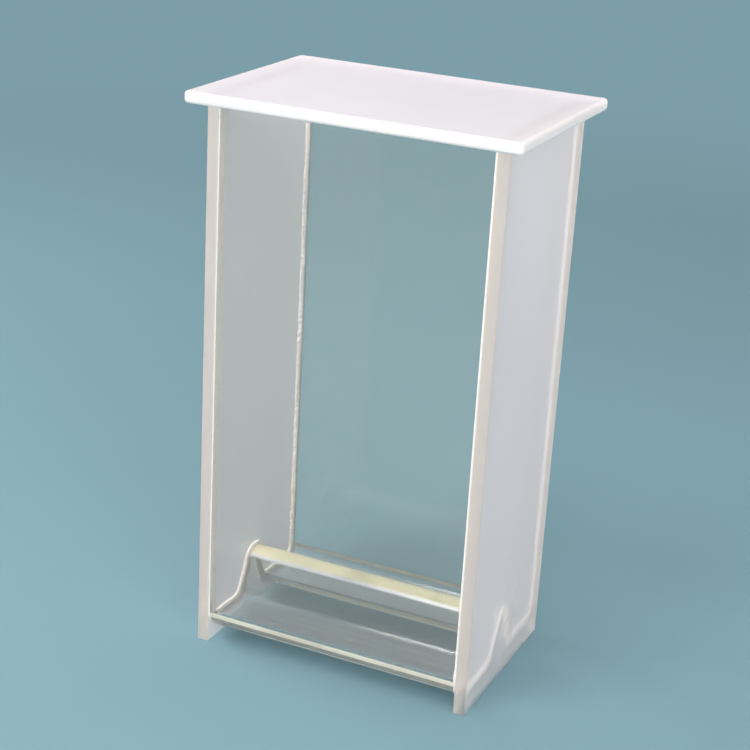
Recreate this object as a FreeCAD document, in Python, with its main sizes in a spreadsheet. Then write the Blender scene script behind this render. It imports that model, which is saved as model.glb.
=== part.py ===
"""Twin-trough tank for developing chromatography plates, with a loose lid.

Frame, in millimetres: +X to the right along the tank's width, +Y to the back, +Z up.
The origin is on the floor, under the middle of the tank.
"""
import FreeCAD, Part
import math
import os
import Sketcher

# The driving sizes: alias, value in millimetres (the angle is in degrees), what it is.
SIZES = [
    ("tank_width", 120.0, "over the outer faces of both end plates"),
    ("tank_depth", 79.5, "front edge to back edge of an end plate"),
    ("plate_height", 225.0, "floor to rim"),
    ("plate_thickness", 5.0, "end plate"),
    ("plate_arris", 0.4, "chamfer on the end plates' edges"),
    ("sheet_thickness", 5.0, "bent sheet of the body"),
    ("foot_height", 5.6, "floor to the underside of the troughs"),
    ("ridge_rise", 18.0, "trough floor to the top of the ridge"),
    ("ridge_radius", 2.0, "inside of the bend at the top of the ridge"),
    ("flank_angle", 65.0, "ridge flank, from the horizontal"),
    ("bend_radius", 3.5, "tank side of the bends at the walls and at the ridge's feet"),
    ("bond_gap", 0.5, "bond layer between a body end and an end plate"),
    ("bead_width", 1.7, "squeezed-out bead, measured on the end plate"),
    ("bead_height", 1.5, "squeezed-out bead, measured on the sheet"),
    ("lid_side_overhang", 6.6, "lid beyond each end plate"),
    ("lid_front_overhang", 6.9, "lid beyond the front and the back"),
    ("lid_thickness", 4.6, "lid plate"),
    ("lid_corner_radius", 2.0, "lid corners, seen from above"),
    ("lid_edge_radius", 1.4, "rounding of the lid's top and bottom edges"),
]

LEFT, RIGHT = -1, 1


def make_sizes(doc):
    """Spreadsheet with one aliased cell for each driving size."""
    sheet = doc.addObject("Spreadsheet::Sheet", "Sizes")
    for row, (alias, value, note) in enumerate(SIZES, start=1):
        sheet.set(f"A{row}", alias)
        sheet.set(f"B{row}", str(value))
        sheet.set(f"C{row}", note)
        sheet.setAlias(f"B{row}", alias)
    doc.recompute()
    return sheet


def new_body(doc, label):
    body = doc.addObject("PartDesign::Body", label)
    body.Label = label
    return body


def origin_plane(body, role):
    return next(f for f in body.Origin.OriginFeatures if f.Role == role)


def new_sketch(body, name, role):
    """Empty sketch on one of the body's own origin planes."""
    sketch = body.newObject("Sketcher::SketchObject", name)
    sketch.AttachmentSupport = [(origin_plane(body, role), "")]
    sketch.MapMode = "FlatFace"
    return sketch


def constrain(sketch, *constraint):
    return sketch.addConstraint(Sketcher.Constraint(*constraint))


def bind(sketch, name, expression, *constraint):
    """Dimensional constraint whose value comes from the spreadsheet."""
    index = constrain(sketch, *constraint)
    sketch.renameConstraint(index, name)
    sketch.setExpression(f"Constraints.{name}", expression)


def line(sketch, start, end):
    segment = Part.LineSegment(FreeCAD.Vector(*start, 0), FreeCAD.Vector(*end, 0))
    return sketch.addGeometry(segment, False)


def arc(sketch, centre, radius, start_angle, end_angle):
    """Anticlockwise arc. Its angles are in radians from the sketch's X axis."""
    circle = Part.Circle(FreeCAD.Vector(*centre, 0), FreeCAD.Vector(0, 0, 1), radius)
    return sketch.addGeometry(Part.ArcOfCircle(circle, start_angle, end_angle), False)


def polygon(sketch, points):
    """Closed outline of straight lines, joined corner to corner."""
    corners = list(zip(points, points[1:] + points[:1]))
    edges = [line(sketch, start, end) for start, end in corners]
    for edge, following in zip(edges, edges[1:] + edges[:1]):
        constrain(sketch, "Coincident", edge, 2, following, 1)
    return edges


def centred_rectangle(sketch, width, height, width_expression, height_expression):
    """Rectangle about the sketch's origin."""
    x, y = width / 2, height / 2
    bottom, right, top, left = polygon(sketch, [(-x, -y), (x, -y), (x, y), (-x, y)])
    constrain(sketch, "Horizontal", bottom)
    constrain(sketch, "Horizontal", top)
    constrain(sketch, "Vertical", right)
    constrain(sketch, "Vertical", left)
    constrain(sketch, "Symmetric", bottom, 1, top, 1, -1, 1)
    bind(sketch, "width", width_expression, "DistanceX", bottom, 1, bottom, 2, width)
    bind(sketch, "height", height_expression, "DistanceY", right, 1, right, 2, height)


def bent_path(body, sizes):
    """Middle line of the bent sheet, from the top of the ridge to the top of the front wall.

    It runs in the YZ plane: half of the ridge's bend, the flank, the bend at its foot, the trough
    floor, the bend at the wall, and the wall. The other half of the sheet is its mirror image.
    """
    half_sheet = sizes.sheet_thickness / 2
    tilt = math.radians(sizes.flank_angle)
    ridge_bend = sizes.ridge_radius + half_sheet
    bend = sizes.bend_radius + half_sheet
    floor_z = sizes.foot_height + half_sheet
    top_z = floor_z + sizes.ridge_rise
    wall_y = -sizes.tank_depth / 2 + half_sheet

    ridge_centre = (0, top_z - ridge_bend)
    flank_top = (-ridge_bend * math.sin(tilt), ridge_centre[1] + ridge_bend * math.cos(tilt))
    flank_foot_z = floor_z + bend * (1 - math.cos(tilt))
    flank_foot_y = flank_top[0] - (flank_top[1] - flank_foot_z) / math.tan(tilt)
    foot_centre = (flank_foot_y - bend * math.sin(tilt), floor_z + bend)
    wall_centre = (wall_y + bend, floor_z + bend)
    quarter = math.pi / 2

    path = new_sketch(body, "SheetPath", "YZ_Plane")
    ridge = arc(path, ridge_centre, ridge_bend, quarter, quarter + tilt)
    flank = line(path, (flank_foot_y, flank_foot_z), flank_top)
    foot = arc(path, foot_centre, bend, -quarter, tilt - quarter)
    floor = line(path, (wall_centre[0], floor_z), (foot_centre[0], floor_z))
    corner = arc(path, wall_centre, bend, 2 * quarter, 3 * quarter)
    wall = line(path, (wall_y, sizes.plate_height), (wall_y, wall_centre[1]))

    constrain(path, "Tangent", ridge, 2, flank, 2)
    constrain(path, "Tangent", flank, 1, foot, 2)
    constrain(path, "Tangent", foot, 1, floor, 2)
    constrain(path, "Tangent", floor, 1, corner, 2)
    constrain(path, "Tangent", corner, 1, wall, 2)
    constrain(path, "PointOnObject", ridge, 3, -2)
    constrain(path, "PointOnObject", ridge, 1, -2)
    constrain(path, "Horizontal", floor)
    constrain(path, "Vertical", wall)
    constrain(path, "Equal", foot, corner)
    bind(path, "ridge_bend", "Sizes.ridge_radius + Sizes.sheet_thickness / 2",
         "Radius", ridge, ridge_bend)
    bind(path, "wall_bend", "Sizes.bend_radius + Sizes.sheet_thickness / 2",
         "Radius", corner, bend)
    bind(path, "flank_slope", "Sizes.flank_angle * 1 deg", "Angle", flank, tilt)
    bind(path, "floor_height", "Sizes.foot_height + Sizes.sheet_thickness / 2",
         "DistanceY", -1, 1, floor, 1, floor_z)
    bind(path, "ridge_height", "Sizes.ridge_rise", "DistanceY", floor, 2, ridge, 1, sizes.ridge_rise)
    bind(path, "wall_place", "(Sizes.tank_depth - Sizes.sheet_thickness) / 2",
         "DistanceX", wall, 2, -1, 1, -wall_y)
    bind(path, "wall_top", "Sizes.plate_height", "DistanceY", -1, 1, wall, 1, sizes.plate_height)
    return path


def sweep_both_ways(body, section, path):
    """Carries the section along the path, then mirrors the result front to back."""
    pipe = body.newObject("PartDesign::AdditivePipe", "BentHalf")
    pipe.Profile = section
    pipe.Spine = path
    body.Document.recompute()
    mirror = body.newObject("PartDesign::Mirrored", "BothHalves")
    mirror.Originals = [pipe]
    mirror.MirrorPlane = (origin_plane(body, "XZ_Plane"), [""])
    body.Tip = mirror
    body.Document.recompute()


def trough_body(doc, sizes):
    """Front wall, two troughs with the ridge between them, and back wall: one bent sheet."""
    body = new_body(doc, "trough_body")
    path = bent_path(body, sizes)
    length = sizes.tank_width - 2 * (sizes.plate_thickness + sizes.bond_gap)
    low = sizes.foot_height + sizes.ridge_rise
    high = low + sizes.sheet_thickness
    section = new_sketch(body, "SheetSection", "XZ_Plane")
    x = length / 2
    bottom, right, top, left = polygon(section, [(-x, low), (x, low), (x, high), (-x, high)])
    constrain(section, "Symmetric", bottom, 1, bottom, 2, -2)
    constrain(section, "Horizontal", top)
    constrain(section, "Vertical", right)
    constrain(section, "Vertical", left)
    bind(section, "length", "Sizes.tank_width - 2 * (Sizes.plate_thickness + Sizes.bond_gap)",
         "DistanceX", bottom, 1, bottom, 2, length)
    bind(section, "thickness", "Sizes.sheet_thickness",
         "DistanceY", right, 1, right, 2, sizes.sheet_thickness)
    bind(section, "underside", "Sizes.foot_height + Sizes.ridge_rise",
         "DistanceY", -1, 1, bottom, 1, low)
    sweep_both_ways(body, section, path)
    check_volume(body, 2 * path.Shape.Length * length * sizes.sheet_thickness)
    return body


def bond_seam(doc, sizes, label, side):
    """Bond layer on the end plate with its bead, which follows the sheet's tank side.

    It is drawn for the left end, with the plate's inner face at X = 0, and turned for the right.
    """
    body = new_body(doc, label)
    path = bent_path(body, sizes)
    low = sizes.foot_height + sizes.ridge_rise
    high = low + sizes.sheet_thickness
    outline = [
        (0, low),
        (sizes.bond_gap, low),
        (sizes.bond_gap, high),
        (sizes.bond_gap + sizes.bead_height, high),
        (0, high + sizes.bead_width),
    ]
    section = new_sketch(body, "SeamSection", "XZ_Plane")
    bottom, inner, step, slope, plate = polygon(section, outline)
    constrain(section, "Horizontal", bottom)
    constrain(section, "Vertical", inner)
    constrain(section, "Horizontal", step)
    constrain(section, "Vertical", plate)
    constrain(section, "PointOnObject", bottom, 1, -2)
    bind(section, "underside", "Sizes.foot_height + Sizes.ridge_rise",
         "DistanceY", -1, 1, bottom, 1, low)
    bind(section, "gap", "Sizes.bond_gap", "DistanceX", bottom, 1, bottom, 2, sizes.bond_gap)
    bind(section, "thickness", "Sizes.sheet_thickness",
         "DistanceY", inner, 1, inner, 2, sizes.sheet_thickness)
    bind(section, "bead_height", "Sizes.bead_height",
         "DistanceX", step, 1, step, 2, sizes.bead_height)
    bind(section, "bead_width", "Sizes.bead_width",
         "DistanceY", step, 2, slope, 2, sizes.bead_width)
    sweep_both_ways(body, section, path)
    place_at_end(body, side)
    return body


def end_plate(doc, sizes, label, side):
    """Ground-glass sheet that closes one end and stands below the troughs as a foot.

    It is drawn for the left end, with its inner face at X = 0, and turned for the right.
    """
    body = new_body(doc, label)
    sketch = new_sketch(body, "PlateOutline", "YZ_Plane")
    centred_rectangle(sketch, sizes.tank_depth, sizes.plate_height,
                      "Sizes.tank_depth", "Sizes.plate_height")
    sketch.setExpression("AttachmentOffset.Base.y", "Sizes.plate_height / 2")
    pad = body.newObject("PartDesign::Pad", "Plate")
    pad.Profile = sketch
    pad.Reversed = True
    pad.setExpression("Length", "Sizes.plate_thickness")
    doc.recompute()
    ease_edges(body, pad, "PartDesign::Chamfer", "Arris", "Size", "Sizes.plate_arris")
    place_at_end(body, side)
    return body


def place_at_end(body, side):
    """Puts a piece drawn for the left end against the inner face of its own end plate."""
    half_turn = 180 if side == RIGHT else 0
    body.Placement = FreeCAD.Placement(
        FreeCAD.Vector(), FreeCAD.Rotation(FreeCAD.Vector(0, 0, 1), half_turn))
    body.setExpression("Placement.Base.x",
                       f"{side} * (Sizes.tank_width / 2 - Sizes.plate_thickness)")


def ease_edges(body, base, kind, name, size_property, expression, edges=None):
    """Chamfer or fillet on the named edges of the feature, or on all of them."""
    names = edges or [f"Edge{i}" for i in range(1, len(base.Shape.Edges) + 1)]
    eased = body.newObject(kind, name)
    eased.Base = (base, names)
    eased.setExpression(size_property, expression)
    body.Document.recompute()
    return eased


def lid_plate(doc, sizes):
    """Loose flat lid with rounded corners and softened edges, resting on the rim."""
    body = new_body(doc, "lid")
    width = sizes.tank_width + 2 * sizes.lid_side_overhang
    depth = sizes.tank_depth + 2 * sizes.lid_front_overhang
    sketch = new_sketch(body, "LidOutline", "XY_Plane")
    centred_rectangle(sketch, width, depth,
                      "Sizes.tank_width + 2 * Sizes.lid_side_overhang",
                      "Sizes.tank_depth + 2 * Sizes.lid_front_overhang")
    pad = body.newObject("PartDesign::Pad", "LidPlate")
    pad.Profile = sketch
    pad.setExpression("Length", "Sizes.lid_thickness")
    doc.recompute()
    upright = edges_where(pad, lambda edge: edge.BoundBox.ZLength > sizes.lid_thickness / 2)
    corners = ease_edges(body, pad, "PartDesign::Fillet", "Corners",
                         "Radius", "Sizes.lid_corner_radius", upright)
    flat = edges_where(corners, lambda edge: edge.BoundBox.ZLength < sizes.lid_thickness / 2)
    ease_edges(body, corners, "PartDesign::Fillet", "SoftEdges",
               "Radius", "Sizes.lid_edge_radius", flat)
    body.setExpression("Placement.Base.z", "Sizes.plate_height")
    return body


def edges_where(feature, wanted):
    edges = enumerate(feature.Shape.Edges, start=1)
    return [f"Edge{number}" for number, edge in edges if wanted(edge)]


def check_volume(body, expected):
    """A bent sheet keeps its flat volume, because its middle line keeps its length."""
    found = body.Shape.Volume
    if abs(found - expected) > 0.001 * expected:
        raise RuntimeError(f"{body.Label}: volume {found:.1f}, expected {expected:.1f}")


def check_document(doc, bodies):
    """Stops if any object failed to recompute, or if a piece isn't one valid solid."""
    doc.recompute()
    for item in doc.Objects:
        if "Invalid" in item.State or "Error" in item.State:
            raise RuntimeError(f"{item.Label} is {item.State}")
    for body in bodies:
        shape = body.Shape
        if shape.isNull() or not shape.isValid() or len(shape.Solids) != 1:
            raise RuntimeError(f"{body.Label} isn't one valid solid")


def main():
    doc = FreeCAD.newDocument("TwinTroughTank")
    sizes = make_sizes(doc)
    bodies = [
        trough_body(doc, sizes),
        end_plate(doc, sizes, "left_end_plate", LEFT),
        end_plate(doc, sizes, "right_end_plate", RIGHT),
        bond_seam(doc, sizes, "left_bond_seam", LEFT),
        bond_seam(doc, sizes, "right_bond_seam", RIGHT),
        lid_plate(doc, sizes),
    ]
    check_document(doc, bodies)
    os.makedirs("parts", exist_ok=True)
    for body in bodies:
        body.Shape.exportStep(f"parts/{body.Label}.step")
        box = body.Shape.optimalBoundingBox()
        print(f"{body.Label}: {box.XLength:.2f} x {box.YLength:.2f} x {box.ZLength:.2f} mm,"
              f" X from {box.XMin:.2f}, Y from {box.YMin:.2f}, Z from {box.ZMin:.2f}")


main()
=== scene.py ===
"""Twin-trough chromatography tank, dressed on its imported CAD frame.

Lengths are in metres, +X to the right, +Y to the back and +Z up. The origin is on the floor,
under the middle of the tank.
"""
import math

import bpy
import numpy as np
from bpy.props import FloatProperty, FloatVectorProperty, IntProperty, PointerProperty
from mathutils import Euler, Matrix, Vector


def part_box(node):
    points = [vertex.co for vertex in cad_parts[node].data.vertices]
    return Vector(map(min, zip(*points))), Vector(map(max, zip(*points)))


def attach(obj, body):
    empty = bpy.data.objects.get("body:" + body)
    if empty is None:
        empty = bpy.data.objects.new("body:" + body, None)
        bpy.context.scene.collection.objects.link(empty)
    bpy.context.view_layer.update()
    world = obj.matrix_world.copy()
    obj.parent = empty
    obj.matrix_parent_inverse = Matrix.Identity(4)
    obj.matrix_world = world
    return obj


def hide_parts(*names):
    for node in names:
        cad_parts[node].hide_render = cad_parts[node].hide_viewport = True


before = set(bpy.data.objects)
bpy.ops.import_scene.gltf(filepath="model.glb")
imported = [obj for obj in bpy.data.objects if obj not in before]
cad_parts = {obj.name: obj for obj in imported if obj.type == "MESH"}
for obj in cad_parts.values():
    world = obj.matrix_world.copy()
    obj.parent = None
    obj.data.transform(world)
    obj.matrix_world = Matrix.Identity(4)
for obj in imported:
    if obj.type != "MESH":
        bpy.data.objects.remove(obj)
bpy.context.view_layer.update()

bl_info = {
    "name": "Twin-trough tank",
    "version": (1, 0, 0),
    "blender": (4, 5, 0),
    "location": "View3D > Sidebar > Tank",
    "description": "Glass, ground glass, lid, bond seams and stage for a twin-trough tank",
    "category": "Object",
}

MM = 0.001
WHITE = (1.0, 1.0, 1.0)
GLASS_IOR = 1.5
LEFT, RIGHT = -1, 1
END_PLATES = {LEFT: "left_end_plate", RIGHT: "right_end_plate"}
SEAM_NODES = {LEFT: "left_bond_seam", RIGHT: "right_bond_seam"}

PLATE_LOW, PLATE_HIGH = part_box(END_PLATES[RIGHT])
BODY_LOW, BODY_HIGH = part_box("trough_body")
LID_LOW, LID_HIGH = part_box("lid")

# Each soft lamp's place, the point that it faces, its width and its depth.
MIDDLE = (0.0, 0.0, PLATE_HIGH.z / 2)
LAMPS = {
    "top": ((0.15, 0.0, 1.1), (0.1, 0.0, 0.0), 0.5, 0.5),
    "strip": ((-0.33, -0.62, 1.1), (-0.33, -0.62, 0.0), 0.25, 0.6),
    "front": ((0.3, -0.95, 0.5), MIDDLE, 0.5, 0.4),
    "right": ((0.8, -0.68, 0.5), MIDDLE, 0.5, 0.5),
    "left": ((-1.0, 0.05, 0.7), MIDDLE, 0.5, 0.5),
    "back": ((-0.6, 1.38, 1.08), MIDDLE, 0.9, 0.55),
}


# ---------------------------------------------------------------- settings

def length(name, default, description):
    """A size in metres, kept as one that can't be negative."""
    return FloatProperty(name=name, description=description, default=default, min=0.0,
                         unit="LENGTH", precision=5)


def share(name, default, description):
    """A number from 0 to 1."""
    return FloatProperty(name=name, description=description, default=default, min=0.0, max=1.0,
                         subtype="FACTOR")


def colour(name, default, description):
    """A colour in linear light."""
    return FloatVectorProperty(name=name, description=description, default=default,
                               subtype="COLOR", size=3, min=0.0, max=1.0)


def angle(name, degrees, description):
    return FloatProperty(name=name, description=description, default=math.radians(degrees),
                         subtype="ANGLE", unit="ROTATION")


class SheetSizes(bpy.types.PropertyGroup):
    """Section of the bent sheet, which the bond seams follow."""
    step: length("Step", 0.15 * MM, "Spacing of the rings along the bent sheet")
    thickness: length("Thickness", 5.0 * MM, "Thickness of the bent sheet")
    ridge_rise: length("Ridge rise", 18.0 * MM, "Trough floor to the top of the ridge")
    ridge_radius: length("Ridge radius", 2.0 * MM, "Inside of the bend at the top of the ridge")
    bend_radius: length("Bend radius", 3.5 * MM, "Tank side of the other bends")
    flank_angle: angle("Flank angle", 65.0, "Ridge flank, from the horizontal")
    rim_gap: length("Rim gap", 0.05 * MM, "Air between the sheet's rims and the lid")


class ClearGlass(bpy.types.PropertyGroup):
    """Finish of the bent sheet."""
    tint: colour("Tint", (1.0, 1.0, 1.0), "Colour that one surface lets through")
    smear_tint: colour("Smear tint", (1.0, 0.995, 0.985), "The same colour where it is smeared")
    smear_size: length("Smear size", 22.0 * MM, "Size of the smears")
    smear_roughness: share("Smear roughness", 0.035, "Roughness where it is smeared most")
    veil: share("Veil", 0.02, "How milky the plain surfaces are")
    depth_tint: colour("Depth tint", (0.95, 0.93, 0.25), "Hue of the light that a long way passes")
    depth_density: FloatProperty(name="Depth density", default=5.0, min=0.0,
                                 description="How fast the depth tint builds up, per metre")
    ior: FloatProperty(name="IOR", default=GLASS_IOR, min=1.0, max=2.0,
                       description="Refractive index")
    haze: colour("Haze", (1.0, 0.97, 0.94), "Colour of the faint haze inside the glass")
    haze_density: FloatProperty(name="Haze density", default=7.0, min=0.0,
                                description="How fast the haze builds up, per metre")
    # Ridge top: painted glow of light carried in the glass, lilac lower half a painted highlight.
    painted_ridge_glow: share("Bloom", 0.85, "How milky the sharp bend at the top of the ridge is")
    painted_ridge_glow_tint: colour("Bloom tint", (1.0, 0.915, 0.62), "Colour of that milky bend")
    painted_ridge_glow_roughness: share("Bloom roughness", 0.1, "Roughness of that milky bend")
    painted_ridge_glow_depth: length("Bloom depth", 2.1 * MM, "How far down from the ridge's top it reaches")
    painted_ridge_glow_turn: length("Bloom turn", 1.6 * MM, "Depth at which its colour turns to the lower one")
    painted_ridge_highlight_tint: colour("Bloom low tint", (0.9, 0.88, 0.93), "Colour of its lower half")
    painted_glow_patches: share("Bloom patches", 0.25, "How much weaker the milkiness is in places")
    # Trough floors: milky lilac, a painted reflection.
    painted_floor_reflection: share("Floor bloom", 0.12, "How milky the trough floors are")
    painted_floor_reflection_tint: colour("Floor tint", (0.97, 0.95, 1.0), "Colour of the milky floors")
    painted_floor_reflection_reach: length("Floor reach", 1.2 * MM, "How far above the floors that goes")
    # Line along the outer bends: milky cream, a painted glow of light carried in the glass.
    painted_bend_line_glow: share("Line bloom", 0.88, "How milky the line along the outer bends is")
    painted_bend_line_tint: colour("Line tint", (1.0, 0.89, 0.73), "Colour of that line")
    painted_bend_line_low: length("Line low", 6.0 * MM, "The line's lower side, above the underside of the base")
    painted_bend_line_high: length("Line high", 8.2 * MM, "The line's upper side, above the same")
    painted_bend_line_skin: length("Line skin", 1.1 * MM, "How deep under the walls' outer faces it is drawn")


class GroundGlass(bpy.types.PropertyGroup):
    """Finish of the end plates."""
    face: colour("Face", (0.95, 0.91, 0.92), "Colour of the ground faces")
    edge: colour("Edge", (0.76, 0.66, 0.585), "Colour of the ground edges")
    roughness: share("Roughness", 0.42, "Roughness of the ground faces")
    clearness: share("Clearness", 0.8, "Share of the light that an outer face lets through")
    inner_clearness: share("Inner clearness", 0.4, "The same share on an inner face")
    grain_size: length("Grain size", 0.35 * MM, "Size of the grinding pits")
    cloud_size: length("Cloud size", 28.0 * MM, "Size of the milky clouds")
    edge_band: length("Edge band", 0.7 * MM, "How far the edge colour reaches onto the faces")
    lamp_pass: share("Lamp pass", 0.86, "Share of a lamp's light that one surface lets through")


class MilkyGlass(bpy.types.PropertyGroup):
    """Finish of the lid."""
    face: colour("Face", (0.76, 0.72, 0.75), "Colour of the top and the underside")
    # Paler edge colour: a painted glow of light gathered at the lid's edges.
    edge: colour("Edge", (0.98, 0.92, 0.89), "Colour of the ground edge faces")
    roughness: share("Roughness", 0.5, "Roughness of the ground faces")
    clearness: share("Clearness", 0.42, "Share of the light that the top lets through")
    inner_clearness: share("Inner clearness", 0.08, "The same share on the underside")
    grain_size: length("Grain size", 0.3 * MM, "Size of the grinding pits")
    cloud_size: length("Cloud size", 35.0 * MM, "Size of the milky clouds")
    # On the faces, a paler border of that painted glow.
    edge_band: length("Edge band", 1.7 * MM, "How far the edge colour reaches onto the faces")
    lamp_pass: share("Lamp pass", 0.9, "Share of a lamp's light that one surface lets through")


class BondSeam(bpy.types.PropertyGroup):
    """Shape and finish of the bond seams."""
    step: length("Step", 0.4 * MM, "Spacing of the rings along the seam")
    wetting: length("Wetting", 0.06 * MM, "How far the bond reaches into what it wets")
    wall_width: length("Width at the walls", 1.4 * MM, "Bead on the end plate, up the walls")
    base_width: length("Width at the base", 1.5 * MM, "Bead on the end plate, along the base")
    height: length("Height", 0.75 * MM, "Bead on the sheet")
    underside_width: length("Width below", 0.8 * MM, "Bead squeezed out below the base")
    unevenness: share("Unevenness", 0.22, "Slow change of the bead's size along the seam")
    grain: length("Grain", 0.09 * MM, "Height of the grains on the bead")
    seed: IntProperty(name="Seed", default=7, description="Start of the random shapes")
    cream: colour("Cream", (1.0, 0.92, 0.86), "Colour of the bond")
    pale_cream: colour("Pale cream", (1.0, 0.97, 0.94), "Its colour where it is palest")
    cloud_size: length("Cloud size", 6.0 * MM, "Size of the paler places")
    grain_size: length("Grain size", 0.8 * MM, "Size of the grains in the finish")
    grain_depth: length("Grain depth", 0.08 * MM, "Height of the grains in the finish")
    speck: colour("Speck", (0.70, 0.56, 0.45), "Colour of the darker grains")
    speck_size: length("Speck size", 1.1 * MM, "Size of the darker grains")
    speck_share: share("Speck share", 0.3, "How much of their colour the darker grains show")


class Stage(bpy.types.PropertyGroup):
    """Floor, light and camera."""
    floor_colour: colour("Floor", (0.20, 0.335, 0.385), "Colour of the plain floor")
    floor_radius: length("Floor radius", 4.0, "Radius of the floor")
    backdrop_level: FloatProperty(name="Backdrop level", default=1.02, min=0.0,
                                  description="How bright the floor's colour is seen far off")
    backdrop_near: length("Backdrop near", 0.45, "Where the floor starts to turn into backdrop")
    backdrop_far: length("Backdrop far", 1.2, "Where the floor is all backdrop")
    bounces: IntProperty(name="Bounces", default=48, min=1,
                         description="How many times a ray may turn inside the glass")
    sky_level: FloatProperty(name="Sky level", default=0.6, min=0.0,
                             description="Strength of the even light from all round")
    top_power: FloatProperty(name="Top lamp", default=1.2, min=0.0, unit="POWER",
                             description="Power of the soft lamp overhead")
    strip_power: FloatProperty(name="Strip lamp", default=5.0, min=0.0, unit="POWER",
                               description="Power of the narrow lamp high in front, on the left")
    front_power: FloatProperty(name="Front lamp", default=3.1, min=0.0, unit="POWER",
                               description="Power of the soft lamp in front")
    right_power: FloatProperty(name="Right lamp", default=4.2, min=0.0, unit="POWER",
                               description="Power of the soft lamp in front, on the right")
    left_power: FloatProperty(name="Left lamp", default=5.4, min=0.0, unit="POWER",
                              description="Power of the soft lamp on the left")
    back_power: FloatProperty(name="Back lamp", default=0.8, min=0.0, unit="POWER",
                              description="Power of the soft lamp behind, on the left")
    azimuth: angle("Azimuth", 24.04, "Camera's way round the tank, from the front to the right")
    elevation: angle("Elevation", 20.86, "Camera's height above the horizon")
    roll: angle("Roll", 3.28, "Camera's tilt about its own line of sight")
    distance: length("Distance", 676.2 * MM, "Camera to the point that it looks at")
    aim: FloatVectorProperty(name="Aim", default=(0.0, -8.9 * MM, 119.9 * MM), size=3,
                             subtype="TRANSLATION", unit="LENGTH",
                             description="Point that the camera looks at")
    lens: FloatProperty(name="Lens", default=82.7, min=1.0, unit="CAMERA",
                        description="Focal length on a 36 mm sensor")


# ---------------------------------------------------------------- node helpers

class Nodes:
    """Adds nodes to one material or world, with their inputs given as values or as sockets."""

    def __init__(self, tree):
        self.tree = tree
        tree.nodes.clear()

    def add(self, kind, settings=None, **inputs):
        """One node. Names of inputs are written with _ for a space, and a number is input_N."""
        new = self.tree.nodes.new("ShaderNode" + kind)
        for name, value in (settings or {}).items():
            setattr(new, name, value)
        for name, value in inputs.items():
            self.feed(self.find(new, name), value)
        return new

    @staticmethod
    def find(new, name):
        if name.startswith("input_"):
            return new.inputs[int(name[len("input_"):])]
        return new.inputs[name.replace("_", " ")]

    def feed(self, socket, value):
        if isinstance(value, bpy.types.NodeSocket):
            self.tree.links.new(value, socket)
        elif socket.type == "RGBA" and len(value) == 3:
            socket.default_value = (*value, 1.0)
        else:
            socket.default_value = value

    def maths(self, operation, *values):
        new = self.add("Math", {"operation": operation})
        for socket, value in zip(new.inputs, values):
            self.feed(socket, value)
        return new.outputs[0]

    def mapped(self, value, from_low, from_high, to_low, to_high, smooth=False):
        """value, carried from one range to another and held inside it."""
        kind = "SMOOTHSTEP" if smooth else "LINEAR"
        new = self.add("MapRange", {"interpolation_type": kind, "clamp": True}, Value=value,
                       From_Min=from_low, From_Max=from_high, To_Min=to_low, To_Max=to_high)
        return new.outputs["Result"]

    def between(self, value, low, high, blur):
        """1 from low to high and 0 outside, each side going over within blur to both sides."""
        above = self.mapped(value, low - blur, low + blur, 0.0, 1.0, smooth=True)
        below = self.mapped(value, high - blur, high + blur, 1.0, 0.0, smooth=True)
        return self.maths("MULTIPLY", above, below)

    def noise(self, position, size, detail=2.0, roughness=0.5, distortion=0.0):
        """Cloudy value from 0 to 1 whose features are about size metres apart."""
        new = self.add("TexNoise", None, Vector=position, Scale=1.0 / size, Detail=detail,
                       Roughness=roughness, Distortion=distortion)
        return new.outputs["Fac"]

    def cells(self, position, size):
        """Distance from the middle of the nearest of scattered grains, in grain sizes."""
        new = self.add("TexVoronoi", {"feature": "F1"}, Vector=position, Scale=1.0 / size)
        return new.outputs["Distance"]

    def blend(self, factor, first, second):
        """Colour between first and second."""
        new = self.add("Mix", {"data_type": "RGBA"})
        self.feed(new.inputs["Factor"], factor)
        self.feed(new.inputs[6], first)
        self.feed(new.inputs[7], second)
        return new.outputs[2]

    def bump(self, height, distance):
        new = self.add("Bump", None, Height=height, Distance=distance, Strength=1.0)
        return new.outputs["Normal"]


def new_material(name):
    material = bpy.data.materials.new(name)
    material.use_nodes = True
    return material, Nodes(material.node_tree)


def finish_material(nodes, surface, lamp_pass=None, volume=None):
    """Puts the surface out. With lamp_pass, that share of the lamps' light goes straight on."""
    out = nodes.add("OutputMaterial")
    if lamp_pass is not None:
        through = nodes.add("BsdfTransparent", None, Color=(lamp_pass,) * 3)
        path = nodes.add("LightPath")
        mix = nodes.add("MixShader", None, input_0=path.outputs["Is Shadow Ray"],
                        input_1=surface, input_2=through.outputs[0])
        surface = mix.outputs[0]
    nodes.feed(out.inputs["Surface"], surface)
    if volume is not None:
        nodes.feed(out.inputs["Volume"], volume)


def object_position(nodes):
    return nodes.add("TexCoord").outputs["Object"]


def distance_to_outline(nodes, position, axes, low, high):
    """Distance to the nearest side of a rectangle, along the two named axes, in metres.

    For each axis it is half the rectangle's size less how far the place is from its middle, and
    the smaller of the two counts.
    """
    split = nodes.add("SeparateXYZ", None, Vector=position)
    gaps = []
    for axis in axes:
        middle, half = (low[axis] + high[axis]) / 2, (high[axis] - low[axis]) / 2
        off = nodes.maths("SUBTRACT", split.outputs[axis], middle)
        gaps.append(nodes.maths("SUBTRACT", half, nodes.maths("ABSOLUTE", off)))
    return nodes.maths("MINIMUM", *gaps)


# ---------------------------------------------------------------- materials

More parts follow.
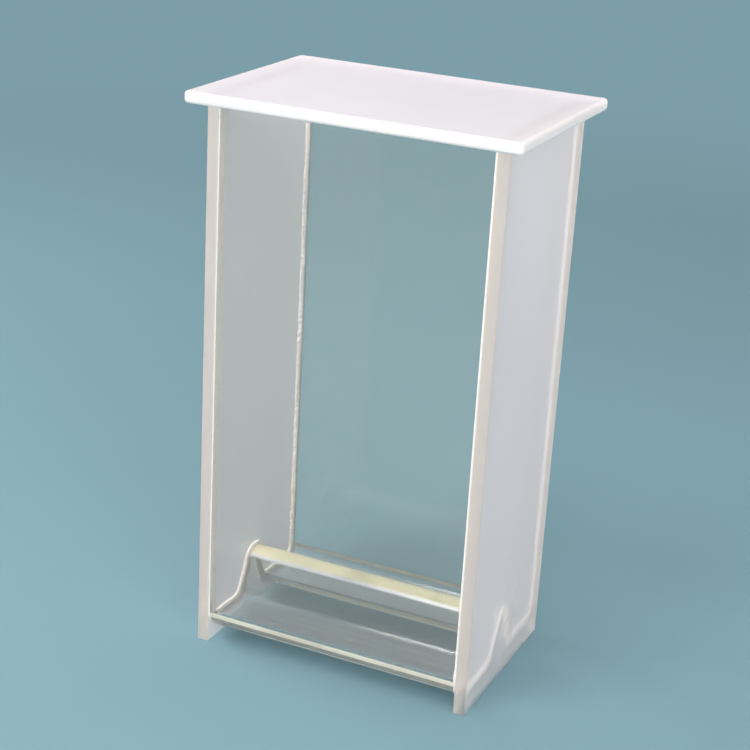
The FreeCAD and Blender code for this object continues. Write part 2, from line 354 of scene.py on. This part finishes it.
def clear_glass(look, ridge_top, floor_top, underside, outside):
    """Drawn and bent glass: faint smears, a yellow tint in depth, and painted light in milky glass.

    Milky cream on the ridge's top and in a line along the outer bends is a painted glow of light
    carried inside the glass, the ridge's lilac lower half is a painted highlight, and milky lilac
    on the trough floors is a painted reflection.
    ridge_top, floor_top and underside are heights, and outside is how far the walls' outer faces
    are from the middle.
    """
    material, nodes = new_material("clear_glass")
    position = object_position(nodes)
    split = nodes.add("SeparateXYZ", None, Vector=position)
    height = split.outputs["Z"]
    outwards = nodes.maths("ABSOLUTE", split.outputs["Y"])
    smears = nodes.noise(position, look.smear_size, detail=4.0, distortion=0.6)

    # Ridge top, where the painted glow goes.
    near_top = nodes.mapped(height, ridge_top - 1.5 * look.painted_ridge_glow_depth,
                            ridge_top - look.painted_ridge_glow_depth, 0.0, 1.0, smooth=True)
    over_ridge = nodes.mapped(outwards, 12 * MM, 14 * MM, 1.0, 0.0)
    ridge = nodes.maths("MULTIPLY", near_top, over_ridge)
    # Its lower half gets the painted highlight's tint.
    turn = ridge_top - look.painted_ridge_glow_turn
    painted_highlight_half = nodes.mapped(height, turn - 0.4 * MM, turn + 0.4 * MM, 1.0, 0.0, smooth=True)

    # Line along the outer bends, a painted glow of light carried in the glass.
    line = nodes.between(height, underside + look.painted_bend_line_low, underside + look.painted_bend_line_high, 0.3 * MM)
    skin = outside - look.painted_bend_line_skin
    line = nodes.maths("MULTIPLY", line, nodes.mapped(outwards, skin - 0.1 * MM, skin + 0.1 * MM,
                                                      0.0, 1.0))
    # Trough floors, a painted reflection.
    floor_high = floor_top + look.painted_floor_reflection_reach
    low = nodes.mapped(height, floor_high - 0.6 * MM, floor_high + 0.6 * MM, 1.0, 0.0,
                       smooth=True)
    floors = nodes.maths("MULTIPLY", low, nodes.maths("SUBTRACT", 1.0, line))

    # Milky share and tint of the painted light, in patches.
    painted_glow_share = 0.0
    tint = nodes.blend(smears, look.tint, look.smear_tint)
    painted_ridge_tint = nodes.blend(painted_highlight_half, look.painted_ridge_glow_tint, look.painted_ridge_highlight_tint)
    for place, amount, own_tint in ((floors, look.painted_floor_reflection, look.painted_floor_reflection_tint),
                                    (line, look.painted_bend_line_glow, look.painted_bend_line_tint),
                                    (ridge, look.painted_ridge_glow, painted_ridge_tint)):
        painted_glow_share = nodes.maths("ADD", painted_glow_share, nodes.maths("MULTIPLY", place, amount))
        tint = nodes.blend(place, tint, own_tint)
    painted_glow_share = nodes.maths("MULTIPLY", painted_glow_share,
                       nodes.mapped(smears, 0.35, 0.65, 1.0 - look.painted_glow_patches, 1.0))
    smeared = nodes.mapped(smears, 0.55, 0.8, 0.0, look.smear_roughness)
    frosted = nodes.maths("MULTIPLY", ridge, look.painted_ridge_glow_roughness)
    glass = nodes.add(
        "BsdfPrincipled", None,
        Base_Color=tint,
        Roughness=nodes.maths("MAXIMUM", smeared, frosted),
        IOR=look.ior,
        Transmission_Weight=nodes.mapped(painted_glow_share, 0.0, 1.0, 1.0 - look.veil, 0.0),
    )
    depth = nodes.add("VolumeAbsorption", None, Color=look.depth_tint,
                      Density=look.depth_density)
    haze = nodes.add("VolumeScatter", None, Color=look.haze, Density=look.haze_density)
    inside = nodes.add("AddShader", None, input_0=depth.outputs[0], input_1=haze.outputs[0])
    finish_material(nodes, glass.outputs[0], volume=inside.outputs[0])
    return material


# Colour that the low places of the grinding pits are darkened towards, the depth of a pit, and
# how pale the clouds are.
PIT_SHADE = (0.45, 0.44, 0.42)
PIT_DEPTH = 0.04 * MM
CLOUD_PALENESS = 0.35


def ground_surface(name, look, across, low, high):
    """Ground glass sheet, thin along the axis across, whose inner side is nearer the origin.

    It has fine pits, milky clouds, a ground edge and a milkier inner face. The edge colour is the
    plates' own, and on the lid, where it is paler, a painted glow of light gathered at the edges.
    """
    material, nodes = new_material(name)
    position = object_position(nodes)
    edge_gap = distance_to_outline(nodes, position, [axis for axis in range(3) if axis != across],
                                   low, high)
    depth = nodes.add("SeparateXYZ", None, Vector=position).outputs[across]
    clearness = nodes.mapped(nodes.maths("ABSOLUTE", depth), low[across], high[across],
                             look.inner_clearness, look.clearness)
    # Band along the edges in the edge colour, on the lid a painted glow.
    edge = nodes.mapped(edge_gap, look.edge_band * 0.4, look.edge_band, 1.0, 0.0, smooth=True)
    clouds = nodes.noise(position, look.cloud_size, detail=3.0, roughness=0.55)
    pits = nodes.noise(position, look.grain_size, detail=2.0, roughness=0.7)
    paler = nodes.blend(CLOUD_PALENESS, look.face, WHITE)
    face = nodes.blend(nodes.mapped(clouds, 0.35, 0.75, 0.0, CLOUD_PALENESS), look.face, paler)
    speckled = nodes.blend(nodes.mapped(pits, 0.3, 0.7, 0.12, 0.0), face, PIT_SHADE)
    glass = nodes.add(
        "BsdfPrincipled", None,
        Base_Color=nodes.blend(edge, speckled, look.edge),
        Roughness=nodes.mapped(pits, 0.2, 0.8, look.roughness - 0.06, look.roughness + 0.08),
        IOR=GLASS_IOR,
        Transmission_Weight=clearness,
        Normal=nodes.bump(pits, PIT_DEPTH),
    )
    finish_material(nodes, glass.outputs[0], look.lamp_pass)
    return material


def bond_cream(look):
    """Grainy, cream-coloured bond with scattered darker grains."""
    material, nodes = new_material("bond_cream")
    position = object_position(nodes)
    clouds = nodes.noise(position, look.cloud_size, detail=3.0)
    grains = nodes.cells(position, look.grain_size)
    specks = nodes.maths("LESS_THAN", nodes.noise(position, look.speck_size, detail=1.0), 0.36)
    paler = nodes.blend(nodes.mapped(clouds, 0.3, 0.7, 0.0, 0.5), look.cream, look.pale_cream)
    mottled = nodes.blend(nodes.maths("MULTIPLY", specks, look.speck_share), paler, look.speck)
    bond = nodes.add(
        "BsdfPrincipled", None,
        Base_Color=mottled,
        Roughness=nodes.mapped(grains, 0.0, 0.8, 0.38, 0.7),
        IOR=GLASS_IOR,
        Normal=nodes.bump(grains, look.grain_depth),
    )
    finish_material(nodes, bond.outputs[0])
    return material


def dress(node_name, material):
    """Gives a CAD node a material through its slots, and leaves its mesh alone."""
    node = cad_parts[node_name]
    for material_slot in node.material_slots:
        material_slot.material = material


# ---------------------------------------------------------------- bent sheet

def sheet_line(sizes, step):
    """Middle line of the bent sheet in the YZ plane, from the front rim to the back rim.

    The heading, measured from +Y towards +Z, stays the same on a straight run and turns evenly
    with length on a bend, so it is a straight-line function of the length along the sheet. The
    place is the running sum of the heading's cosine in Y and of its sine in Z. Returns the
    length along the line, Y, Z and the heading at points about step apart.
    """
    half_sheet = sizes.thickness / 2
    bend = sizes.bend_radius + half_sheet
    ridge = sizes.ridge_radius + half_sheet
    tilt = sizes.flank_angle
    wall_y = BODY_LOW.y + half_sheet
    floor_z = BODY_LOW.z + half_sheet
    rim_z = BODY_HIGH.z - sizes.rim_gap
    wall_run = rim_z - floor_z - bend
    flank_run = (sizes.ridge_rise - (ridge + bend) * (1 - math.cos(tilt))) / math.sin(tilt)
    floor_run = (-wall_y - bend - (ridge + bend) * math.sin(tilt)
                 - flank_run * math.cos(tilt))
    quarter = math.pi / 2
    half = [(wall_run, 0.0), (bend * quarter, quarter), (floor_run, 0.0),
            (bend * tilt, tilt), (flank_run, 0.0), (ridge * tilt, -tilt)]
    runs, turns = np.array(half + half[::-1]).T
    stations = np.concatenate([[0.0], np.cumsum(runs)])
    headings = -quarter + np.concatenate([[0.0], np.cumsum(turns)])
    count = int(round(stations[-1] / step)) + 1
    along = np.linspace(0.0, stations[-1], count)
    middles = (along[1:] + along[:-1]) / 2
    spacing = along[1] - along[0]
    middle_heading = np.interp(middles, stations, headings)
    y = wall_y + np.concatenate([[0.0], np.cumsum(np.cos(middle_heading) * spacing)])
    z = rim_z + np.concatenate([[0.0], np.cumsum(np.sin(middle_heading) * spacing)])
    return along, y, z, np.interp(along, stations, headings)


def across_sheet(side_x, n, y, z, heading):
    """Points at side_x along X and n from the sheet's middle line, along its normal in YZ."""
    world_y = y[:, None] - n * np.sin(heading)[:, None]
    world_z = z[:, None] + n * np.cos(heading)[:, None]
    return np.stack([np.broadcast_to(side_x, world_y.shape), world_y, world_z], axis=-1)


def sheet_mesh(sizes):
    """The bent sheet: a rectangle across the sheet, carried along its middle line.

    The rectangle's corners are at the body's two ends along X, half the thickness to each side
    of the line. Edges that run along the sheet, and those round its two rims, stay sharp.
    """
    _, y, z, heading = sheet_line(sizes, sizes.step)
    half_sheet = sizes.thickness / 2
    side_x = np.array([[BODY_LOW.x, BODY_HIGH.x, BODY_HIGH.x, BODY_LOW.x]])
    n = np.array([[half_sheet, half_sheet, -half_sheet, -half_sheet]])
    points = across_sheet(side_x, n, y, z, heading)
    mesh = ring_mesh("bent_sheet", points, flip=False)
    edges = np.empty(len(mesh.edges) * 2, dtype=np.int32)
    mesh.edges.foreach_get("vertices", edges)
    ring, place = np.divmod(edges.reshape(-1, 2), 4)
    lengthwise = place[:, 0] == place[:, 1]
    at_rim = (ring[:, 0] == ring[:, 1]) & np.isin(ring[:, 0], (0, len(y) - 1))
    sharp = mesh.attributes.new("sharp_edge", "BOOLEAN", "EDGE")
    sharp.data.foreach_set("value", lengthwise | at_rim)
    return mesh


# ---------------------------------------------------------------- bond seams

def wander(rng, along, spacing):
    """Smooth random value from -1 to 1: random knots every spacing, joined by smoothsteps."""
    knots = rng.uniform(-1.0, 1.0, int(along[-1] / spacing) + 3)
    place = along / spacing
    first = place.astype(int)
    part = place - first
    part = part * part * (3 - 2 * part)
    return knots[first] * (1 - part) + knots[first + 1] * part


def bead_arc(width, height, start_x, start_n, side, turns, roughen):
    """Quarter of an oval from the sheet to the plate, as (x, n) at each angle of turns.

    x is the distance from the plate and n is the distance from the sheet's middle. The oval's
    half axes are height along x and width along n, times 1 plus the roughening.
    """
    reach = 1.0 + roughen
    x = start_x + height[:, None] * reach * np.cos(turns)[None, :]
    n = start_n + side * width[:, None] * reach * np.sin(turns)[None, :]
    return x, n


# The thinnest that a bead gets, and how far the film stops short of the sheet's two faces.
LEAST_BEAD = 0.02 * MM
FILM_INSET = 0.05 * MM


def seam_mesh(look, sizes, side):
    """Bond film in the gap, with the beads squeezed out of it on both sides of the sheet.

    A closed ring of points lies in the plane across the sheet's middle line: the bead on the
    tank side, the film against the sheet's end, the bead on the far side, and the plate's face.
    The rings follow the line, so a point is the line's place plus n times the sheet's normal in
    YZ, and the plate's inner face plus x along X. The first and last rings are closed off.
    Widths are a slow random change plus a ragged one, and go from the walls' to the base's near
    the bends under the walls.
    """
    rng = np.random.default_rng(look.seed + side)
    along, y, z, heading = sheet_line(sizes, look.step)
    half_sheet = sizes.thickness / 2
    wall = (BODY_HIGH.z - BODY_LOW.z) - sizes.bend_radius
    from_rim = np.minimum(along, along[-1] - along)
    in_base = np.interp(from_rim, [wall - 12 * MM, wall + 6 * MM], [0.0, 1.0])
    slow = 0.65 * wander(rng, along, 9 * MM) + 0.35 * wander(rng, along, 2.2 * MM)
    uneven = 1.0 + look.unevenness * slow
    ragged = 0.28 * wander(rng, along, 0.9 * MM)
    width = look.wall_width + (look.base_width - look.wall_width) * in_base
    width = width * (uneven + ragged * (1 - 0.6 * in_base))
    height = look.height * (1.0 + look.unevenness * wander(rng, along, 6 * MM))
    below = in_base * look.underside_width * (1.0 + 0.8 * wander(rng, along, 4 * MM))
    below = np.maximum(below, LEAST_BEAD)

    gap = abs(PLATE_LOW.x) - abs(BODY_HIGH.x)
    sheet_x = gap + look.wetting
    turns = np.linspace(0.0, math.pi / 2, 12)
    fine = rng.uniform(-1.0, 1.0, (len(along), len(turns))) * look.grain / look.height
    fine[:, [0, -1]] *= 0.3
    x_in, n_in = bead_arc(width, height, gap, half_sheet, 1, turns, fine)
    x_out, n_out = bead_arc(below, below, gap, -half_sheet, -1, turns[::-2],
                            fine[:, ::2] * 0.6)
    film_n = half_sheet - FILM_INSET
    film = np.broadcast_to([film_n, -film_n], (len(along), 2))
    plate_x = np.full((len(along), 1), -look.wetting)
    x = np.concatenate([plate_x, x_in[:, ::-1], np.full_like(film, sheet_x), x_out[:, ::-1],
                        plate_x], axis=1)
    n = np.concatenate([n_in[:, -1:], n_in[:, ::-1], film, n_out[:, ::-1], n_out[:, :1]], axis=1)

    points = across_sheet(side * (abs(PLATE_LOW.x) - x), n, y, z, heading)
    return ring_mesh(SEAM_NODES[side] + "_bead", points, flip=side == LEFT)


def ring_mesh(name, points, flip):
    """Closed mesh from rings of points (ring, place in ring, xyz), with its two ends closed."""
    rings, around = points.shape[:2]
    numbers = np.arange(rings * around).reshape(rings, around)
    following = np.roll(numbers, -1, axis=1)
    quads = np.stack([numbers[:-1], following[:-1], following[1:], numbers[1:]], axis=-1)
    quads = quads.reshape(-1, 4)
    first, last = numbers[0][::-1], numbers[-1]
    if flip:
        quads, first, last = quads[:, ::-1], first[::-1], last[::-1]
    mesh = bpy.data.meshes.new(name)
    mesh.from_pydata(points.reshape(-1, 3).tolist(), [],
                     quads.tolist() + [first.tolist(), last.tolist()])
    mesh.polygons.foreach_set("use_smooth", np.ones(len(mesh.polygons), bool))
    mesh.update()
    return mesh


# ---------------------------------------------------------------- stage

def floor_mesh(radius, rings=24, spokes=96):
    """Flat disc: rings whose radii grow with the square of their number, round the origin."""
    radii = radius * (np.arange(1, rings + 1) / rings) ** 2
    turns = np.linspace(0.0, 2 * math.pi, spokes, endpoint=False)
    x, y = np.outer(radii, np.cos(turns)), np.outer(radii, np.sin(turns))
    points = np.concatenate([[[0.0, 0.0, 0.0]],
                             np.stack([x, y, np.zeros_like(x)], axis=-1).reshape(-1, 3)])
    numbers = 1 + np.arange(rings * spokes).reshape(rings, spokes)
    following = np.roll(numbers, -1, axis=1)
    quads = np.stack([numbers[:-1], numbers[1:], following[1:], following[:-1]], axis=-1)
    fan = np.stack([np.zeros(spokes, int), numbers[0], following[0]], axis=-1)
    mesh = bpy.data.meshes.new("floor")
    mesh.from_pydata(points.tolist(), [], quads.reshape(-1, 4).tolist() + fan.tolist())
    return mesh


def seen_rays(nodes):
    """1 for rays that show the background, directly or in glass and gloss, and 0 for others."""
    path = nodes.add("LightPath")
    bent = nodes.maths("MAXIMUM", path.outputs["Is Glossy Ray"],
                       path.outputs["Is Transmission Ray"])
    return nodes.maths("MAXIMUM", path.outputs["Is Camera Ray"], bent)


# Size of the floor's mottle, and how dark it gets, as a share of the floor's colour.
MOTTLE_SIZE = 60 * MM
MOTTLE_SHADE = 0.97


def plain_floor(look):
    """Matt floor of one pale colour, with the faintest mottle.

    Far from the tank, where the lamps don't reach, it is seen at an even level, as a backdrop is.
    """
    material, nodes = new_material("plain_floor")
    position = object_position(nodes)
    mottle = nodes.noise(position, MOTTLE_SIZE, detail=3.0)
    darker = [channel * MOTTLE_SHADE for channel in look.floor_colour]
    matt = nodes.add("BsdfPrincipled", None,
                     Base_Color=nodes.blend(mottle, look.floor_colour, darker),
                     Roughness=0.85, Specular_IOR_Level=0.2)
    away = nodes.add("VectorMath", {"operation": "LENGTH"}, Vector=position).outputs["Value"]
    far = nodes.mapped(away, look.backdrop_near, look.backdrop_far, 0.0, 1.0, smooth=True)
    even = nodes.add("Emission", None, Color=look.floor_colour, Strength=look.backdrop_level)
    floor = nodes.add("MixShader", None, input_0=nodes.maths("MULTIPLY", far, seen_rays(nodes)),
                      input_1=matt.outputs[0], input_2=even.outputs[0])
    finish_material(nodes, floor.outputs[0])
    return material


def even_sky(look):
    """Even white light from above, which fades into the floor's colour towards the horizon.

    The fade ends low over the front and the sides, and high at the back, where it stands for a
    backdrop of the floor's colour behind the tank. Seen directly, or low through the glass, it
    has the level of the far floor.
    """
    world = bpy.data.worlds.new("even_sky")
    world.use_nodes = True
    nodes = Nodes(world.node_tree)
    direction = nodes.add("SeparateXYZ", None, Vector=nodes.add("TexCoord").outputs["Generated"])
    behind = nodes.mapped(direction.outputs["Y"], -0.1, 0.25, 0.0, 1.0, smooth=True)
    fade_start = nodes.mapped(behind, 0.0, 1.0, 0.0, 0.45)
    fade_end = nodes.mapped(behind, 0.0, 1.0, 0.12, 0.72)
    height = nodes.mapped(direction.outputs["Z"], fade_start, fade_end, 0.0, 1.0, smooth=True)
    camera = nodes.add("LightPath").outputs["Is Camera Ray"]
    unseen = nodes.maths("SUBTRACT", 1.0, camera)
    tone = nodes.blend(nodes.maths("MULTIPLY", height, unseen), look.floor_colour, WHITE)
    low = nodes.mapped(direction.outputs["Z"], 0.08, 0.2, 1.0, 0.0, smooth=True)
    shown = nodes.maths("MAXIMUM", camera, nodes.maths("MULTIPLY", low, seen_rays(nodes)))
    level = nodes.mapped(shown, 0.0, 1.0, look.sky_level, look.backdrop_level)
    light = nodes.add("Background", None, Color=tone, Strength=level)
    out = nodes.add("OutputWorld")
    nodes.feed(out.inputs["Surface"], light.outputs[0])
    return world


VOLUME_BOUNCES = 2


def follow_light(scene, bounces):
    """Follows light far enough along the inside of the bent sheet, where it is caught."""
    cycles = scene.cycles
    cycles.max_bounces = bounces
    cycles.glossy_bounces = bounces
    cycles.transmission_bounces = bounces
    cycles.transparent_max_bounces = bounces
    cycles.volume_bounces = VOLUME_BOUNCES


def soft_lamp(name, place, aim, width, depth, power):
    """Rectangular lamp at place, facing aim."""
    lamp = bpy.data.lights.new(name, "AREA")
    lamp.shape = "RECTANGLE"
    lamp.size, lamp.size_y = width, depth
    lamp.energy = power
    holder = bpy.data.objects.new(name, lamp)
    holder.location = place
    holder.rotation_euler = (Vector(aim) - Vector(place)).to_track_quat("-Z", "Y").to_euler()
    bpy.context.scene.collection.objects.link(holder)
    return holder


# Width of the camera's sensor in millimetres, and the near and far ends of what it sees.
SENSOR_WIDTH = 36.0
CLIP = (0.01, 50.0)


def place_camera(look):
    """Camera on a sphere round the aim, turned about its own line of sight by the roll."""
    data = bpy.data.cameras.new("camera")
    data.sensor_width = SENSOR_WIDTH
    data.lens = look.lens
    data.clip_start, data.clip_end = CLIP
    camera = bpy.data.objects.new("camera", data)
    back = Vector((math.sin(look.azimuth) * math.cos(look.elevation),
                   -math.cos(look.azimuth) * math.cos(look.elevation),
                   math.sin(look.elevation)))
    camera.location = Vector(look.aim) + back * look.distance
    camera.rotation_mode = "QUATERNION"
    level = (-back).to_track_quat("-Z", "Y")
    camera.rotation_quaternion = level @ Euler((0.0, 0.0, look.roll)).to_quaternion()
    bpy.context.scene.collection.objects.link(camera)
    bpy.context.scene.camera = camera


# ---------------------------------------------------------------- operators

class TANK_OT_trough_body(bpy.types.Operator):
    """Make the bent sheet with smooth bends, in clear glass"""
    bl_idname = "tank.trough_body"
    bl_label = "Trough body"

    def execute(self, context):
        sizes = context.scene.tank_sheet
        look = context.scene.tank_clear_glass
        floor_top = BODY_LOW.z + sizes.thickness
        mesh = sheet_mesh(sizes)
        mesh.materials.append(clear_glass(look, floor_top + sizes.ridge_rise, floor_top,
                                          BODY_LOW.z, abs(BODY_LOW.y)))
        sheet = bpy.data.objects.new(mesh.name, mesh)
        context.scene.collection.objects.link(sheet)
        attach(sheet, "tank")
        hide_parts("trough_body")
        return {"FINISHED"}


class TANK_OT_end_plates(bpy.types.Operator):
    """Give both end plates their ground glass"""
    bl_idname = "tank.end_plates"
    bl_label = "End plates"

    def execute(self, context):
        look = context.scene.tank_ground_glass
        material = ground_surface("ground_glass", look, 0, PLATE_LOW, PLATE_HIGH)
        for name in END_PLATES.values():
            dress(name, material)
        return {"FINISHED"}


class TANK_OT_lid(bpy.types.Operator):
    """Give the lid its milky ground glass"""
    bl_idname = "tank.lid"
    bl_label = "Lid"

    def execute(self, context):
        look = context.scene.tank_milky_glass
        dress("lid", ground_surface("milky_glass", look, 2, LID_LOW, LID_HIGH))
        return {"FINISHED"}


class TANK_OT_bond_seams(bpy.types.Operator):
    """Make the uneven bond seams in place of the plain ones"""
    bl_idname = "tank.bond_seams"
    bl_label = "Bond seams"

    def execute(self, context):
        look = context.scene.tank_bond_seam
        material = bond_cream(look)
        for side, node_name in SEAM_NODES.items():
            mesh = seam_mesh(look, context.scene.tank_sheet, side)
            mesh.materials.append(material)
            seam = bpy.data.objects.new(mesh.name, mesh)
            context.scene.collection.objects.link(seam)
            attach(seam, "tank")
            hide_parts(node_name)
        return {"FINISHED"}


class TANK_OT_stage(bpy.types.Operator):
    """Lay the floor and set up the light and the camera"""
    bl_idname = "tank.stage"
    bl_label = "Stage"

    def execute(self, context):
        look = context.scene.tank_stage
        mesh = floor_mesh(look.floor_radius)
        mesh.materials.append(plain_floor(look))
        floor = bpy.data.objects.new("floor", mesh)
        context.scene.collection.objects.link(floor)
        context.scene.world = even_sky(look)
        for name, placing in LAMPS.items():
            soft_lamp(name + "_lamp", *placing, getattr(look, name + "_power"))
        place_camera(look)
        follow_light(context.scene, look.bounces)
        context.scene.view_settings.view_transform = "Standard"
        return {"FINISHED"}


OPERATORS = (TANK_OT_trough_body, TANK_OT_end_plates, TANK_OT_lid, TANK_OT_bond_seams,
             TANK_OT_stage)


class TANK_PT_sidebar(bpy.types.Panel):
    """Steps that dress the tank, in order"""
    bl_idname = "TANK_PT_sidebar"
    bl_label = "Twin-trough tank"
    bl_space_type = "VIEW_3D"
    bl_region_type = "UI"
    bl_category = "Tank"

    def draw(self, context):
        for operator in OPERATORS:
            self.layout.operator(operator.bl_idname)


SETTINGS = {
    "tank_sheet": SheetSizes,
    "tank_clear_glass": ClearGlass,
    "tank_ground_glass": GroundGlass,
    "tank_milky_glass": MilkyGlass,
    "tank_bond_seam": BondSeam,
    "tank_stage": Stage,
}


def register():
    for group in SETTINGS.values():
        bpy.utils.register_class(group)
    for name, group in SETTINGS.items():
        setattr(bpy.types.Scene, name, PointerProperty(type=group))
    for operator in OPERATORS:
        bpy.utils.register_class(operator)
    bpy.utils.register_class(TANK_PT_sidebar)


def unregister():
    bpy.utils.unregister_class(TANK_PT_sidebar)
    for operator in reversed(OPERATORS):
        bpy.utils.unregister_class(operator)
    for name, group in reversed(SETTINGS.items()):
        delattr(bpy.types.Scene, name)
        bpy.utils.unregister_class(group)


def main():
    register()
    bpy.ops.tank.trough_body()
    bpy.ops.tank.end_plates()
    bpy.ops.tank.lid()
    bpy.ops.tank.bond_seams()
    bpy.ops.tank.stage()


if __name__ == "__main__":
    main()
